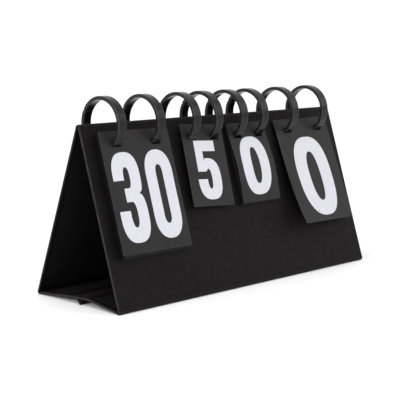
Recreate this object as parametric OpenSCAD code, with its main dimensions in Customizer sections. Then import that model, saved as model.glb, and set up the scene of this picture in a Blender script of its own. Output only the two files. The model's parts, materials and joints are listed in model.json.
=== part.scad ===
// Tabletop flip scoreboard: a folding tent of board covered in leatherette,
// with numbered cards hung in pairs of snap rings along the ridge.
// Frame: X along the ridge, the front faces -Y, Z up, origin on the table
// under the middle of the stand. Millimetres.

/* [Stand] */
// Length of the stand along the ridge
stand_l = 385; // [375:1:400]
// Height of the ridge above the table
ridge_h = 174.8; // [170:0.2:180]
// Depth over the two foot folds
stand_d = 121.3; // [116:0.1:125]
// Thickness of the grey board inside a panel
board_t = 2.0; // [1.8:0.1:2.2]
// Thickness of one leatherette layer
skin_t = 0.4; // [0.3:0.05:0.45]
// Outer radius of the foot folds
foot_r = 3.1; // [3.1:0.1:3.4]
// Rise of each base half from its foot to the middle, in degrees
base_rise = 5.6; // [5:0.1:6.2]
// Length of the stiff part of a base half
base_stiff = 43; // [38:0.5:43]

/* [Rings] */
// Inner radius of a ring
ring_ri = 23.8; // [23.5:0.05:24]
// Thickness of a ring in its radius
ring_t = 3.0; // [2.6:0.1:3.2]
// Width of a ring along its axis
ring_w = 8.95; // [7.5:0.05:9.5]
// How far the ring centres stand behind the ridge
ring_back = 1.7; // [1.4:0.1:2.2]
// How far the ring centres sit below the top of the ridge
ring_drop = 1.6; // [1.2:0.1:2]
// Place of the outer ring of a score card from the middle
ring_x4 = 157.3; // [156:0.1:159]
// Place of the inner ring of a score card
ring_x3 = 104.7; // [103:0.1:106]
// Place of the outer ring of a set card
ring_x2 = 53; // [52:0.1:54]
// Place of the inner ring of a set card
ring_x1 = 19.6; // [18.6:0.1:20.6]
// Angle of the snap seam from straight down, towards the front
seam_a = 62; // [58:1:70]

/* [Cards] */
// Width of a score card
score_w = 92.5; // [88:0.5:93]
// Height of a score card
score_h = 121; // [115:0.5:123]
// Width of a set card
set_w = 60; // [55:0.5:61]
// Height of a set card
set_h = 86.5; // [85:0.5:89]
// Thickness of a card
card_t = 0.22; // [0.18:0.01:0.22]
// Spacing of the cards in a pack
card_pitch = 0.24; // [0.24:0.005:0.25]
// Width of a slot in a card or a panel
slot_w = 13; // [12:0.5:14]
// Height of a slot in a card
slot_h = 6.4; // [6:0.1:6.8]
// Card edge above its slots
slot_edge = 10.3; // [9.5:0.1:11]
// How far the cards stand to the left of their slots
card_off = 0.4; // [0:0.1:2]
// Highest number on the score cards
score_top = 30; // [20:1:30]
// Highest number on the set cards
set_top = 5; // [4:1:5]
// Thickness of the printed figures
ink_t = 0.03; // [0.02:0.01:0.04]

/* [Hidden] */

slack = 0.02;                       // glue line between glued layers
panel_t = board_t + 2*skin_t;       // whole thickness of a panel
ro = panel_t + 0.1;                 // outer face from the hinge line
ridge_z = ridge_h - ro;             // hinge line at the ridge
foot_y = stand_d/2 - foot_r;        // hinge line at a foot
foot_z = foot_r;
alpha = atan2(foot_y, ridge_z - foot_z);     // lean of a panel from upright
slope = norm([foot_y, ridge_z - foot_z]);    // hinge line to hinge line
half_l = stand_l/2;
base_l = (foot_y - ro*sin(base_rise))/cos(base_rise); // foot hinge to the middle
mid_z = foot_z + base_l*sin(base_rise) - ro*cos(base_rise);
ring_ro = ring_ri + ring_t;
pin_r = ring_ri - 0.3;              // where a card's slot hangs
ring_xs = [-ring_x4, -ring_x3, -ring_x2, -ring_x1, ring_x1, ring_x2, ring_x3, ring_x4];
score_x = (ring_x4 + ring_x3)/2;
set_x = (ring_x2 + ring_x1)/2;
score_s = (ring_x4 - ring_x3)/2;
set_s = (ring_x2 - ring_x1)/2;

cover_c = [0.13, 0.12, 0.125];
board_c = [0.45, 0.43, 0.40];
lining_c = [0.07, 0.065, 0.07];
ring_c = [0.20, 0.20, 0.21];
card_c = [0.20, 0.195, 0.20];
ink_c = [0.93, 0.93, 0.95];

// panel directions in the Y-Z plane, for the front panel
dn = [-sin(alpha), -cos(alpha)];
on = [-cos(alpha), sin(alpha)];

// ---- frames ----
module at_rear() { rotate([0, 0, 180]) children(); }
module on_panel() { translate([0, 0, ridge_z]) rotate([-alpha, 0, 0]) children(); }
module on_base() { translate([0, -foot_y, foot_z]) rotate([base_rise, 0, 0]) children(); }

// hanging point on the ring circle for a card whose middle plane is n outside
// the panel; back is the ring centre's offset seen from that side
function hang_p(n, back) = let(c = [back, ro - ring_drop], wc = c*on, vc = c*dn, w = ro + n,
  v = vc + sqrt(pin_r*pin_r - (w - wc)*(w - wc))) v*dn + w*on;
module hang(n, back, tilt = 0, roll = 0, lift = 0, x = 0) {
  p = hang_p(n, back);
  translate([0, p[0], ridge_z + p[1]]) rotate([-(alpha + tilt), 0, 0])
    translate([x, 0, 0]) rotate([0, roll, 0]) translate([-x, 0, lift]) children();
}

// ---- panels ----
module slot_2d(h) {
  r = 1.2;
  for (sx = [-1, 1], sy = [-1, 1])
    translate([sx*(slot_w/2 - r), sy*(h/2 - r)]) circle(r, $fn = 24);
  square([slot_w, h - 2*r], center = true);
  square([slot_w - 2*r, h], center = true);
}
module ring_slots(v0, v1) {
  for (x = ring_xs) translate([x, 1, -(v0 + v1)/2]) rotate([90, 0, 0])
    linear_extrude(height = 5) slot_2d(v1 - v0);
}
// a slab in a panel's frame: from depth w0 to w1 inside the hinge line
module slab(hl, w0, w1, v0, v1) {
  translate([-hl, -w1, -v1]) cube([2*hl, w1 - w0, v1 - v0]);
}
module panel_cover(s0, s1, top) {
  difference() {
    slab(half_l, 0.1, ro, top, slope);
    slab(half_l - skin_t, 0, ro - skin_t, top + skin_t, slope - skin_t);
    ring_slots(s0, s1);
  }
}
module panel_board(s0, s1, top) {
  difference() {
    slab(half_l - skin_t - slack, 0.1 + skin_t + slack, ro - skin_t - slack,
      top + skin_t + slack, slope - skin_t - slack);
    ring_slots(s0, s1);
  }
}
module panel_lining(s0, s1, top) {
  difference() {
    slab(half_l - skin_t - slack, 0.1, 0.1 + skin_t, top + skin_t + slack,
      slope - skin_t - slack);
    ring_slots(s0, s1);
  }
}
// reach of the ring slots down each panel
front_s = [ring_ri - 3.7, ring_ri + 3.8];
rear_s = [ring_ri - 3.8, ring_ri + 3.9];
module front_panel_cover() { color(cover_c) on_panel() panel_cover(front_s[0], front_s[1], 0.1); }
module front_panel_board() { color(board_c) on_panel() panel_board(front_s[0], front_s[1], 0.1); }
module front_panel_lining() { color(lining_c) on_panel() panel_lining(front_s[0], front_s[1], 0.1); }
module rear_panel_cover() { color(cover_c) at_rear() on_panel() panel_cover(rear_s[0], rear_s[1], 0.3); }
module rear_panel_board() { color(board_c) at_rear() on_panel() panel_board(rear_s[0], rear_s[1], 0.3); }
module rear_panel_lining() { color(lining_c) at_rear() on_panel() panel_lining(rear_s[0], rear_s[1], 0.3); }

// a bent strip round a hinge line along X, angles measured from +Y towards +Z
module bent_strip(r0, r1, a0, a1, hl) {
  rotate([90, 0, 90]) translate([0, 0, -hl]) rotate([0, 0, a0])
    rotate_extrude(angle = a1 - a0, $fn = 64)
      translate([r0, 0]) square([r1 - r0, 2*hl]);
}
module ridge_spine() {
  color(cover_c) translate([0, 0, ridge_z]) bent_strip(ro - 1.2, ro, alpha, 180 - alpha, half_l);
}
module foot_fold() {
  intersection() {
    translate([0, -foot_y, foot_z]) bent_strip(foot_r - 1.2, foot_r + 0.15, 180 - alpha, 300, half_l);
    translate([-half_l, -stand_d/2, 0]) cube([2*half_l, stand_d/2, 20]);
  }
}
module front_foot_fold() { color(cover_c) foot_fold(); }
module rear_foot_fold() { color(cover_c) at_rear() foot_fold(); }

// ---- base halves ----
base_x = half_l - 0.5;
module base_box(hl, l0, l1, w0, w1) { translate([-hl, l0, -w1]) cube([2*hl, l1 - l0, w1 - w0]); }
module base_cover() {
  on_base() difference() {
    base_box(base_x, foot_r + 0.45, base_stiff, 0.1, ro);
    base_box(base_x - skin_t, foot_r + 0.45 + skin_t, base_stiff - skin_t, 0, ro - skin_t);
  }
}
module base_board() {
  on_base() base_box(base_x - skin_t - slack, foot_r + 0.45 + skin_t + slack,
    base_stiff - skin_t - slack, 0.1 + skin_t + slack, ro - skin_t - slack);
}
module base_lining() {
  on_base() base_box(base_x - skin_t - slack, foot_r + 0.45 + skin_t + slack,
    base_stiff - skin_t - slack, 0.1, 0.1 + skin_t);
}
module base_edge() {
  on_base() base_box(base_x, base_stiff + slack, base_l - 0.15, 0.1, ro);
}
module front_base_cover() { color(cover_c) base_cover(); }
module front_base_board() { color(board_c) base_board(); }
module front_base_lining() { color(lining_c) base_lining(); }
module front_base_edge() { color(cover_c) base_edge(); }
module rear_base_cover() { color(cover_c) at_rear() base_cover(); }
module rear_base_board() { color(board_c) at_rear() base_board(); }
module rear_base_lining() { color(lining_c) at_rear() base_lining(); }
module rear_base_edge() { color(cover_c) at_rear() base_edge(); }

// the closing lip under the middle fold: two strips pressed together
lip_lean = 41;
module lip(y0, y1) {
  translate([0, 0, mid_z - 0.35]) rotate([-lip_lean, 0, 0])
    translate([-base_x, y0, -6.6]) cube([2*base_x, y1 - y0, 6.2]);
}
module lip_hook_strip() { color(lining_c) lip(-0.6, -0.01); }
module lip_loop_strip() { color(cover_c) lip(0.01, 0.6); }

// ---- rings ----
lap = 4;                              // length of the snap lap, degrees
hinge_a = 180 - seam_a;               // moulded hinge, opposite the seam
// cross-section of a ring: radii r0 to r1, edges cut back by c0 and c1
function bar_2d(r0, r1, c0, c1) = c0 < 0 ? [[r0, -ring_w], [r1, -ring_w], [r1, ring_w], [r0, ring_w]] :
  [[r0 + c0, -ring_w/2], [r1 - c1, -ring_w/2],
  [r1, -ring_w/2 + c1], [r1, ring_w/2 - c1], [r1 - c1, ring_w/2],
  [r0 + c0, ring_w/2], [r0, ring_w/2 - c0], [r0, -ring_w/2 + c0]];
// part of a ring between two angles from straight down towards the rear
module arc(r0, r1, a0, a1, c0, c1) {
  rotate([0, 90, 0]) rotate([0, 0, a0])
    rotate_extrude(angle = a1 - a0, $fn = 128) polygon(bar_2d(r0, r1, c0, c1));
}
module ring_body(k) {
  color(ring_c) translate([ring_xs[k - 1], ring_back, ridge_h - ring_drop]) {
    difference() {
      arc(ring_ri, ring_ro, -seam_a, hinge_a, 0.5, 0.5);
      arc(ring_ri + ring_t/2 - 0.06, ring_ro + 1, -seam_a - 1, lap - seam_a, -2, -2);
    }
  }
}
module ring_gate(k) {
  color(ring_c) translate([ring_xs[k - 1], ring_back, ridge_h - ring_drop]) {
    arc(ring_ri, ring_ro, hinge_a + 0.25, 360 - seam_a - 0.25, 0.5, 0.5);
    arc(ring_ri + ring_t/2 + 0.06, ring_ro, 359.4 - seam_a, 360 + lap - seam_a - 0.25, 0.01, 0.5);
  }
}
module ring_1_body() { ring_body(1); }
module ring_1_gate() { ring_gate(1); }
module ring_2_body() { ring_body(2); }
module ring_2_gate() { ring_gate(2); }
module ring_3_body() { ring_body(3); }
module ring_3_gate() { ring_gate(3); }
module ring_4_body() { ring_body(4); }
module ring_4_gate() { ring_gate(4); }
module ring_5_body() { ring_body(5); }
module ring_5_gate() { ring_gate(5); }
module ring_6_body() { ring_body(6); }
module ring_6_gate() { ring_gate(6); }
module ring_7_body() { ring_body(7); }
module ring_7_gate() { ring_gate(7); }
module ring_8_body() { ring_body(8); }
module ring_8_gate() { ring_gate(8); }

// ---- cards ----
module card(x, w, h, s, side) {
  color(card_c) difference() {
    translate([x - side*card_off - w/2, -card_t/2, slot_edge - h]) cube([w, card_t, h]);
    for (k = [-1, 1]) translate([x + k*s - slot_w/2, -card_t, -slot_h])
      cube([slot_w, 2*card_t, slot_h]);
  }
}
// side is 1 for a card in front and -1 for one at the rear
module score_card(x, side = 1) { card(x, score_w, score_h, score_s, side); }
module set_card(x, side = 1) { card(x, set_w, set_h, set_s, side); }

// ---- figures: heavy condensed numerals, drawn from rounded loops ----
function pw(c, e) = sign(c)*pow(abs(c), 2/e);
function loop(a, b, e, n = 56) =
  [for (i = [0:n - 1]) let(t = (i + 0.5)*360/n) [a*pw(cos(t), e), b*pw(sin(t), e)]];
// a loop drawn out by two straight sides of length 2*st
function long_loop(a, b, e, st) = [for (q = loop(a, b - st, e)) [q[0], q[1] + sign(q[1])*st]];
module oval(w, h, sv, sh, eo, ei, st) {
  difference() {
    polygon(long_loop(w/2, h/2, eo, st));
    polygon(long_loop(w/2 - sv, h/2 - sh, ei, st*1.04));
  }
}
// each figure stands on y = 0, centred on x = 0, w wide, h high;
// v and s are the thicknesses of its upright and level strokes
module fig_0(w, h, v, s) {
  slim = h > 2*w;   // a narrow 0 has straight sides
  translate([0, h/2]) if (slim) oval(w, h, v, s, 2.3, 2.2, (h - 1.32*w)/2);
  else oval(w, h, v, s, 2.6, 2.34, 0);
}
module fig_1(w, h, v, s) {
  x = -v*0.35;
  polygon([[x + v, 0], [x + v, h], [x + v*0.15, h], [x - v*0.85, h - s*1.25],
    [x - v*0.85, h - s*2.25], [x, h - s*1.75], [x, 0]]);
}
// points of a rounded loop about c, half sizes a and b, from angle t0 to t1
function bow(c, a, b, t0, t1, e = 2.6, n = 22) =
  [for (i = [0:n]) let(t = t0 + (t1 - t0)*i/n) [c[0] + a*pw(cos(t), e), c[1] + b*pw(sin(t), e)]];
module fig_3(w, h, v, s) {
  hl = (h + s)/2;
  k = w*0.03;
  ct = [-k/2, h - hl/2];
  cb = [0, hl/2];
  polygon(concat([[-w/2, h*0.69]], bow(ct, (w - k)/2, hl/2, 176, -20), [[w*0.35, h*0.525]],
    bow(cb, w/2, hl/2, 22, -176), [[-w/2, h*0.355], [-w/2 + v, h*0.355]],
    bow(cb, w/2 - v, hl/2 - s, -172, 86, 2.4), [[-w*0.18, (h - s)/2], [-w*0.18, (h + s)/2]],
    bow(ct, (w - k)/2 - v, hl/2 - s, -86, 172, 2.4), [[-w/2 + v, h*0.69]]));
}
module fig_5(w, h, v, s) {
  hb = h*0.7;
  c = [0, hb/2];
  polygon(concat([[-w*0.45, h], [w*0.42, h], [w*0.42, h - s], [v*0.8 - w*0.45, h - s],
    [v*0.8 - w*0.45, h*0.665]], bow(c, w/2, hb/2, 96, -176), [[-w/2, h*0.345], [v - w/2, h*0.345]],
    bow(c, w/2 - v, hb/2 - s, -172, 128, 2.4), [[v*0.95 - w/2, h*0.475], [-w*0.45, h*0.475]]));
}
module fig_2(w, h, v, s) {
  hl = (h + s)/2;
  c = [0, h - hl/2];
  polygon(concat([[-w/2, h*0.67]], bow(c, w/2, hl/2, 176, 0), [[w*0.49, h*0.62], [w*0.45, h*0.55],
    [-w/2 + v*1.15, s], [w/2, s], [w/2, 0], [-w/2, 0], [-w/2, s*0.92], [w/2 - v*1.15, h*0.545],
    [w/2 - v*1.02, h*0.61]], bow(c, w/2 - v, hl/2 - s, 0, 172, 2.4), [[v - w/2, h*0.67]]));
}
module fig_9(w, h, v, s) {
  hl = h*0.62;
  c = [0, h - hl/2];
  difference() {
    polygon(concat([[-w/2, h*0.29]], bow([0, h*0.3], w/2, h*0.3, -176, -2),
      bow(c, w/2, hl/2, 0, 275), [[w/2 - v, h*0.385]],
      bow([0, h*0.3], w/2 - v, h*0.3 - s, -4, -176, 2.4), [[v - w/2, h*0.29]]));
    polygon([for (q = loop(w/2 - v, hl/2 - s, 2.4)) q + c]);
  }
}
module fig_4(w, h, v, s) {
  x = w*0.34;
  y = h*0.2;
  difference() {
    polygon([[x, 0], [x, y], [w/2, y], [w/2, y + s], [x, y + s], [x, h], [x - v*1.1, h],
      [-w/2, y + s*1.02], [-w/2, y], [x - v, y], [x - v, 0]]);
    polygon([[x - v, y + s], [-w/2 + v*0.8, y + s], [x - v, h*0.72]]);
  }
}
module fig(d, w, h, v, s) {
  if (d == 0) fig_0(w, h, v, s);
  if (d == 1) fig_1(w, h, v, s);
  if (d == 2) fig_2(w, h, v, s);
  if (d == 3) fig_3(w, h, v, s);
  if (d == 4) fig_4(w, h, v, s);
  if (d == 5) fig_5(w, h, v, s);
  if (d == 9) fig_9(w, h, v, s);
}
// films of ink on a card's outer face; list the figures from left to right
module ink(x, list, w, h, v, s, gap, base) {
  n = len(list);
  color(ink_c) translate([x, -card_t/2, base]) rotate([90, 0, 0])
    linear_extrude(height = ink_t) for (i = [0:n - 1])
      translate([(i - (n - 1)/2)*(w + gap), 0]) fig(list[i], w, h, v, s);
}
score_base = slot_edge - score_h + 10.3;
set_base = slot_edge - set_h + 6.8;
module score_ink(x, n, side = 1) {
  if (n > 9) ink(x, [floor(n/10), n % 10], 36.4, 89.2, 13.7, 14.9, 7.1, score_base);
  else ink(x - side*card_off, [n], 59.3, 92.4, 20, 17.4, 0, score_base - 4);
}
module set_ink(x, n, side = 1) {
  if (n == 0) ink(x - side*card_off, [n], 42.7, 63.8, 14.9, 11.9, 0, set_base);
  else ink(x - side*card_off, [n], 33.8, 62, 13.4, 11.2, 0, set_base);
}
// ink on the reverse of a card that stands at x
module reverse(x) { translate([x, 0, 0]) rotate([0, 0, 180]) children(); }

// resting places: middle planes of the cards outside their panel
function pack_n(i) = 0.26 + i*card_pitch;
score_n = pack_n(score_top) + 0.19;        // top card over the whole front pack
set_front_n = 6.8;                         // single set card, hung forward
set_roll = 2.5;                            // and a little askew
set_lift = 0.75;
fan_pitch = 0.85;                          // fanned set cards
fan_n = 4.95;
lone_n = 4.0;                              // single score card and its tilt
lone_tilt = 3.9;
lone_lift = 0.3;
ride = 1.3;                                // rear cards ride up this much when the tent shuts
back_set_n = pack_n(set_top - 1) + 0.19;
back_score_n = pack_n(score_top - 1) + 0.19;

module left_score_card() { hang(score_n, ring_back) score_card(-score_x); }
module left_score_print() {
  hang(score_n, ring_back) { score_ink(-score_x, score_top); reverse(-score_x) score_ink(0, score_top - 1, -1); }
}
module left_score_pack() {
  for (i = [0:score_top - 1]) hang(pack_n(i), ring_back) score_card(-score_x);
}
module left_score_pack_print() { hang(pack_n(score_top - 1), ring_back) score_ink(-score_x, score_top - 1); }

module left_set_card() { hang(set_front_n, ring_back, 0, set_roll, set_lift, -set_x) set_card(-set_x); }
module left_set_print() { hang(set_front_n, ring_back, 0, set_roll, set_lift, -set_x) set_ink(-set_x, set_top); }
module left_set_back_card() { at_rear() hang(back_set_n, -ring_back, 0, 0, ride) set_card(set_x, -1); }
module left_set_back_print() {
  at_rear() hang(back_set_n, -ring_back, 0, 0, ride) { set_ink(set_x, set_top, -1); reverse(set_x) set_ink(0, set_top - 1); }
}
module left_set_back_pack() {
  at_rear() for (i = [0:set_top - 2]) hang(pack_n(i), -ring_back, 0, 0, ride) set_card(set_x, -1);
}
module left_set_back_pack_print() { at_rear() hang(pack_n(set_top - 2), -ring_back, 0, 0, ride) set_ink(set_x, set_top - 1, -1); }

module right_set_card() { hang(fan_n, ring_back) set_card(set_x); }
module right_set_print() {
  hang(fan_n, ring_back) { set_ink(set_x, 0); reverse(set_x) set_ink(0, 1, -1); }
}
module right_set_pack() {
  for (i = [0:set_top - 1]) hang(0.35 + i*fan_pitch, ring_back) set_card(set_x);
}
module right_set_pack_print() { hang(0.35 + (set_top - 1)*fan_pitch, ring_back) set_ink(set_x, 1); }

module right_score_card() { hang(lone_n, ring_back, lone_tilt, 0, lone_lift) score_card(score_x); }
module right_score_print() { hang(lone_n, ring_back, lone_tilt, 0, lone_lift) score_ink(score_x, 0); }
module right_score_back_card() { at_rear() hang(back_score_n, -ring_back, 0, 0, ride) score_card(-score_x, -1); }
module right_score_back_print() {
  at_rear() hang(back_score_n, -ring_back, 0, 0, ride) { score_ink(-score_x, 0, -1); reverse(-score_x) score_ink(0, 1); }
}
module right_score_back_pack() {
  at_rear() for (i = [0:score_top - 2]) hang(pack_n(i), -ring_back, 0, 0, ride) score_card(-score_x, -1);
}
module right_score_back_pack_print() { at_rear() hang(pack_n(score_top - 2), -ring_back, 0, 0, ride) score_ink(-score_x, 1, -1); }

// ---- drawing ----
front_panel_cover();
front_panel_board();
front_panel_lining();
rear_panel_cover();
rear_panel_board();
rear_panel_lining();
ridge_spine();
front_foot_fold();
rear_foot_fold();
front_base_cover();
front_base_board();
front_base_lining();
front_base_edge();
rear_base_cover();
rear_base_board();
rear_base_lining();
rear_base_edge();
lip_hook_strip();
lip_loop_strip();
ring_1_body();
ring_1_gate();
ring_2_body();
ring_2_gate();
ring_3_body();
ring_3_gate();
ring_4_body();
ring_4_gate();
ring_5_body();
ring_5_gate();
ring_6_body();
ring_6_gate();
ring_7_body();
ring_7_gate();
ring_8_body();
ring_8_gate();
left_score_card();
left_score_print();
left_score_pack();
left_score_pack_print();
left_set_card();
left_set_print();
left_set_back_card();
left_set_back_print();
left_set_back_pack();
left_set_back_pack_print();
right_set_card();
right_set_print();
right_set_pack();
right_set_pack_print();
right_score_card();
right_score_print();
right_score_back_card();
right_score_back_print();
right_score_back_pack();
right_score_back_pack_print();
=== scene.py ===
import bpy
import bmesh
import json
import math
import random
from mathutils import Matrix, Vector, geometry

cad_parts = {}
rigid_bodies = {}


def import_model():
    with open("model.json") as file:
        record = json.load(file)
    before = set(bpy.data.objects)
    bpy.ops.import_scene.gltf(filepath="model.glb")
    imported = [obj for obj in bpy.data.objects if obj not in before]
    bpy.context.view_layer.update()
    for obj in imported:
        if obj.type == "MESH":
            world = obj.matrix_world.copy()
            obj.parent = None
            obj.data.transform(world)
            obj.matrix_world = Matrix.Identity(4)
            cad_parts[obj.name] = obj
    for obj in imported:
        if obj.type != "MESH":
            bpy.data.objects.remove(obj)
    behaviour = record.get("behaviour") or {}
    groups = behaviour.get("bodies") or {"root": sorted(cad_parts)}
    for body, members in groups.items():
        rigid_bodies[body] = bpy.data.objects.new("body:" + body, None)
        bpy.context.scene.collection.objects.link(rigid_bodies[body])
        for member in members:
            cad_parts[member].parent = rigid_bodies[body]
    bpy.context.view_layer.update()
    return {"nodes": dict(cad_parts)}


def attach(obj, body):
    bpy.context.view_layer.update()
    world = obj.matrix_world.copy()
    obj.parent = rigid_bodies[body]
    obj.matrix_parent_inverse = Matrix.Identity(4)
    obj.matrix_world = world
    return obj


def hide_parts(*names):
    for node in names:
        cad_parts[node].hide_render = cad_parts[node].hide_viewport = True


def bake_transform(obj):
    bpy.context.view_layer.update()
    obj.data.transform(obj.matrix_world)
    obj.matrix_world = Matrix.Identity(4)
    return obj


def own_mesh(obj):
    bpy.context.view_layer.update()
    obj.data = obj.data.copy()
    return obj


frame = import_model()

MM = 0.001

# ------------------------------------------------------------------ sizes, mm
RIDGE_H = 174.8
RO = 2.9
RI = 0.1
RIDGE_Z = RIDGE_H - RO
FOOT_Y = 57.55
FOOT_Z = 3.1
ALPHA = math.atan2(FOOT_Y, RIDGE_Z - FOOT_Z)
SLOPE = math.hypot(FOOT_Y, RIDGE_Z - FOOT_Z)
HALF_L = 192.5
RISE = math.radians(5.6)
BASE_L = (FOOT_Y - RO * math.sin(RISE)) / math.cos(RISE)
BASE_X = HALF_L - 0.5
STIFF = 43.0
RING_X = [-157.3, -104.7, -53.0, -19.6, 19.6, 53.0, 104.7, 157.3]
RING_RI, RING_T, RING_W, RING_BACK, RING_DROP = 23.8, 3.7, 10.2, 1.7, 1.6
SEAM, HINGE, LAP = 62.0, 118.0, 4.0
SCORE_W, SCORE_H, SET_W, SET_H = 92.5, 121.0, 60.0, 86.5
CARD_T, PITCH, SLOT_W, SLOT_H, EDGE = 0.22, 0.24, 13.0, 6.4, 10.3
CARD_OFF = 0.4
SCORE_X, SET_X = 131.0, 36.3
SCORE_S, SET_S = 26.3, 16.7
INK = 0.03
RIDE = 1.3

FRONT = Matrix.Translation((0, 0, RIDGE_Z)) @ Matrix.Rotation(-ALPHA, 4, "X")
HALF_TURN = Matrix.Rotation(math.pi, 4, "Z")
REAR = HALF_TURN @ FRONT
BASE_F = Matrix.Translation((0, -FOOT_Y, FOOT_Z)) @ Matrix.Rotation(RISE, 4, "X")
BASE_R = HALF_TURN @ BASE_F
# the front half of the base stands steeper than the rear one and dips to the crease
STEEP = math.radians(7.8)
BASE_FS = Matrix.Translation((0, -FOOT_Y, FOOT_Z)) @ Matrix.Rotation(STEEP, 4, "X")
DN = Vector((-math.sin(ALPHA), -math.cos(ALPHA)))
ON = Vector((-math.cos(ALPHA), math.sin(ALPHA)))


def hang(n, back, tilt=0.0, roll=0.0, lift=0.0, rear=False, x=0.0):
    c = Vector((back, RO - RING_DROP))
    wc, vc = c.dot(ON), c.dot(DN)
    w = RO + n
    pin = RING_RI - 0.3
    v = vc + math.sqrt(pin * pin - (w - wc) ** 2)
    p = v * DN + w * ON
    m = (Matrix.Translation((0, p[0], RIDGE_Z + p[1]))
         @ Matrix.Rotation(-(ALPHA + math.radians(tilt)), 4, "X")
         @ Matrix.Translation((x, 0, 0))
         @ Matrix.Rotation(math.radians(roll), 4, "Y")
         @ Matrix.Translation((-x, 0, lift)))
    return (HALF_TURN @ m) if rear else m


# ------------------------------------------------------------------ materials
def new_mat(name):
    m = bpy.data.materials.new(name)
    m.use_nodes = True
    nt = m.node_tree
    for n in list(nt.nodes):
        nt.nodes.remove(n)
    out = nt.nodes.new("ShaderNodeOutputMaterial")
    bsdf = nt.nodes.new("ShaderNodeBsdfPrincipled")
    nt.links.new(bsdf.outputs[0], out.inputs[0])
    return m, nt, bsdf


def node(nt, kind, **kw):
    n = nt.nodes.new(kind)
    for k, v in kw.items():
        if k in n.inputs.keys():
            n.inputs[k].default_value = v
        else:
            setattr(n, k, v)
    return n


def ramp(nt, fac, stops):
    r = nt.nodes.new("ShaderNodeValToRGB")
    els = r.color_ramp.elements
    els[0].position, els[0].color = stops[0][0], tuple(stops[0][1]) + (1,)
    els[1].position, els[1].color = stops[-1][0], tuple(stops[-1][1]) + (1,)
    for p, c in stops[1:-1]:
        e = els.new(p)
        e.color = tuple(c) + (1,)
    nt.links.new(fac, r.inputs[0])
    return r


def span(nt, value, a0, a1, b0, b1):
    m = nt.nodes.new("ShaderNodeMapRange")
    m.clamp = True
    nt.links.new(value, m.inputs[0])
    for i, x in zip((1, 2, 3, 4), (a0, a1, b0, b1)):
        m.inputs[i].default_value = x
    return m.outputs[0]


def math_n(nt, op, a, b):
    m = nt.nodes.new("ShaderNodeMath")
    m.operation = op
    for i, x in enumerate((a, b)):
        if isinstance(x, (int, float)):
            m.inputs[i].default_value = x
        else:
            nt.links.new(x, m.inputs[i])
    return m.outputs[0]


def mix_rgb(nt, fac, a, b, blend="MIX"):
    m = nt.nodes.new("ShaderNodeMix")
    m.data_type = "RGBA"
    m.blend_type = blend
    for sock, x in ((m.inputs[0], fac), (m.inputs[6], a), (m.inputs[7], b)):
        if isinstance(x, (int, float)):
            sock.default_value = x
        elif isinstance(x, tuple):
            sock.default_value = x + (1,)
        else:
            nt.links.new(x, sock)
    return m.outputs[2]


def coords(nt, stretch=None, space="Object"):
    tc = nt.nodes.new("ShaderNodeTexCoord")
    if stretch is None:
        return tc.outputs[space]
    mp = nt.nodes.new("ShaderNodeMapping")
    mp.inputs["Scale"].default_value = stretch
    nt.links.new(tc.outputs[space], mp.inputs[0])
    return mp.outputs[0]


def noise(nt, co, scale, detail=3.0, rough=0.5, distortion=0.0):
    n = node(nt, "ShaderNodeTexNoise", Scale=scale, Detail=detail, Roughness=rough, Distortion=distortion)
    nt.links.new(co, n.inputs["Vector"])
    return n.outputs["Fac"]


def bump(nt, bsdf, height, strength, dist, prev=None):
    b = node(nt, "ShaderNodeBump", Strength=strength, Distance=dist)
    nt.links.new(height, b.inputs["Height"])
    if prev is not None:
        nt.links.new(prev.outputs[0], b.inputs["Normal"])
    nt.links.new(b.outputs[0], bsdf.inputs["Normal"])
    return b


def leatherette(name, dark, light, worn_and_highlit, spec, rough0, rough1, grain=1.0):
    m, nt, b = new_mat(name)
    co = coords(nt)
    # pebble grain: crinkled cells about 0.8 mm across, with fine pores
    warp = noise(nt, co, 900.0, 3.0, 0.55)
    vor = node(nt, "ShaderNodeTexVoronoi", feature="SMOOTH_F1", Scale=1250.0, Smoothness=0.45)
    mixv = nt.nodes.new("ShaderNodeMix")
    mixv.data_type = "VECTOR"
    mixv.inputs[0].default_value = 0.0006
    nt.links.new(co, mixv.inputs[4])
    nn = node(nt, "ShaderNodeTexNoise", Scale=700.0, Detail=2.0)
    nt.links.new(co, nn.inputs["Vector"])
    nt.links.new(nn.outputs["Color"], mixv.inputs[5])
    nt.links.new(mixv.outputs[1], vor.inputs["Vector"])
    cells = vor.outputs["Distance"]
    fine = noise(nt, co, 4200.0, 2.0, 0.6)
    broad = noise(nt, co, 22.0, 3.0, 0.5, 0.4)
    mid = noise(nt, co, 130.0, 4.0, 0.55)
    wear_and_highlight = nt.nodes.new("ShaderNodeAttribute")
    wear_and_highlight.attribute_name = "wear_and_highlight"
    base = mix_rgb(nt, span(nt, broad, 0.3, 0.7, 0.0, 1.0), dark, light)
    pits = span(nt, cells, 0.25, 0.75, 1.0, 0.78)
    base = mix_rgb(nt, pits, (dark[0] * 0.6, dark[1] * 0.6, dark[2] * 0.6), base)
    # Lighter edge tone where the mesh attribute marks edges and folds: painted highlight lines, together with some
    # rubbing of the edges.
    edge = math_n(nt, "MULTIPLY", wear_and_highlight.outputs["Fac"], span(nt, mid, 0.32, 0.62, 0.35, 1.0))
    base = mix_rgb(nt, edge, base, worn_and_highlit)
    nt.links.new(base, b.inputs["Base Color"])
    rg = span(nt, mid, 0.3, 0.7, rough0, rough1)
    rg = math_n(nt, "ADD", rg, math_n(nt, "MULTIPLY", cells, 0.10))
    nt.links.new(rg, b.inputs["Roughness"])
    b.inputs["Specular IOR Level"].default_value = spec
    h = math_n(nt, "ADD", math_n(nt, "MULTIPLY", cells, -1.0), math_n(nt, "MULTIPLY", fine, 0.22))
    h = math_n(nt, "ADD", h, math_n(nt, "MULTIPLY", warp, 0.35))
    b0 = bump(nt, b, h, 0.35 * grain, 0.00016)
    bump(nt, b, broad, 0.22, 0.0022, b0)
    return m


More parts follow.
